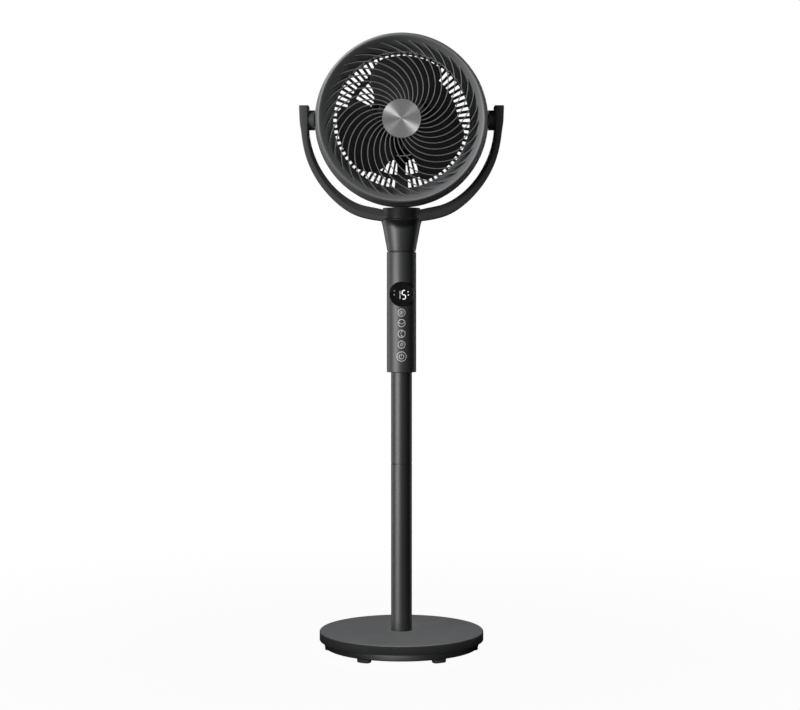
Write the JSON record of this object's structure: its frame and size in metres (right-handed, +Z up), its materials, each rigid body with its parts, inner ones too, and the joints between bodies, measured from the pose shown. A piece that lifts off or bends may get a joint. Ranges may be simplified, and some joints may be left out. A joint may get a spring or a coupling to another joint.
{
  "type": "pedestal fan",
  "caption": "Pedestal fan with a round weighted base, slim pole, control column with display, swinging U-shaped yoke and a tilting round head with curved ribs.",
  "frame": {"origin": "centre of the round base, on the floor", "axes": "+Z up along the pole; the fan blows towards -Y; +X is the right-hand side seen from the front"},
  "size_m": [0.3228, 0.262, 0.9812],
  "materials": {
    "charcoal_plastic": "fine matte texture",
    "black_plastic": "matte",
    "coated_tube": "satin powder coat",
    "display_glass": "gloss black",
    "steel": "plain",
    "badge_metal": "turned",
    "bush_brass": "plain",
    "rubber": "matte",
    "circuit_board": "solder mask"
  },
  "bodies": {
    "stand": {"base_cover": "charcoal_plastic", "base_tray": "black_plastic", "power_inlet": "rubber", "base_weight": "steel", "pole_socket": "steel", "clamp_screw": "steel", "foot_1": "rubber", "foot_2": "rubber", "foot_3": "rubber", "foot_4": "rubber", "foot_5": "rubber", "foot_6": "rubber", "lower_pole": "coated_tube", "upper_pole": "coated_tube", "pole_coupler": "steel", "column_front_shell": "charcoal_plastic", "column_rear_shell": "charcoal_plastic", "column_collar": "black_plastic", "display_rim": "black_plastic", "display_window": "display_glass", "display_module": "circuit_board", "control_board": "circuit_board", "swivel_motor": "steel", "swivel_bearing": "black_plastic"},
    "yoke": {"swivel_spindle": "steel", "neck_front_shell": "charcoal_plastic", "neck_rear_shell": "charcoal_plastic", "right_yoke_arm": "charcoal_plastic", "left_yoke_arm": "charcoal_plastic", "left_pivot_pin": "steel", "tilt_motor": "steel"},
    "head": {"right_pivot_boss": "charcoal_plastic", "left_pivot_boss": "charcoal_plastic", "right_pivot_bush": "bush_brass", "left_pivot_bush": "bush_brass", "head_housing": "charcoal_plastic", "front_grille": "charcoal_plastic", "hub_badge": "badge_metal", "rear_grille": "charcoal_plastic", "rear_motor_cover": "charcoal_plastic", "fan_motor": "steel"},
    "impeller": {"fan_blade": "black_plastic", "motor_shaft": "steel", "blade_nut": "black_plastic"},
    "timer_button": {"timer_button": "charcoal_plastic"},
    "swing_button": {"swing_button": "charcoal_plastic"},
    "tilt_button": {"tilt_button": "charcoal_plastic"},
    "speed_button": {"speed_button": "charcoal_plastic"},
    "power_button": {"power_button": "charcoal_plastic"}
  },
  "joints": [
    {"name": "swing", "type": "hinge", "parent": "stand", "child": "yoke", "pos_m": [0, 0, 0.6362], "axis": [0, 0, 1], "range_deg": [-60, 60]},
    {"name": "tilt", "type": "hinge", "parent": "yoke", "child": "head", "pos_m": [0, 0, 0.8437], "axis": [-1, 0, 0], "range_deg": [-15, 90]},
    {"name": "blade_spin", "type": "hinge", "parent": "head", "child": "impeller", "pos_m": [0, 0, 0.8437], "axis": [0, -1, 0], "continuous": true},
    {"name": "timer_press", "type": "slide", "parent": "stand", "child": "timer_button", "axis": [0, 1, 0], "range_m": [0, 0.0008], "stiffness_N_per_m": 900},
    {"name": "swing_press", "type": "slide", "parent": "stand", "child": "swing_button", "axis": [0, 1, 0], "range_m": [0, 0.0008], "stiffness_N_per_m": 900},
    {"name": "tilt_press", "type": "slide", "parent": "stand", "child": "tilt_button", "axis": [0, 1, 0], "range_m": [0, 0.0008], "stiffness_N_per_m": 900},
    {"name": "speed_press", "type": "slide", "parent": "stand", "child": "speed_button", "axis": [0, 1, 0], "range_m": [0, 0.0008], "stiffness_N_per_m": 900},
    {"name": "power_press", "type": "slide", "parent": "stand", "child": "power_button", "axis": [0, 1, 0], "range_m": [0, 0.0008], "stiffness_N_per_m": 900}
  ]
}
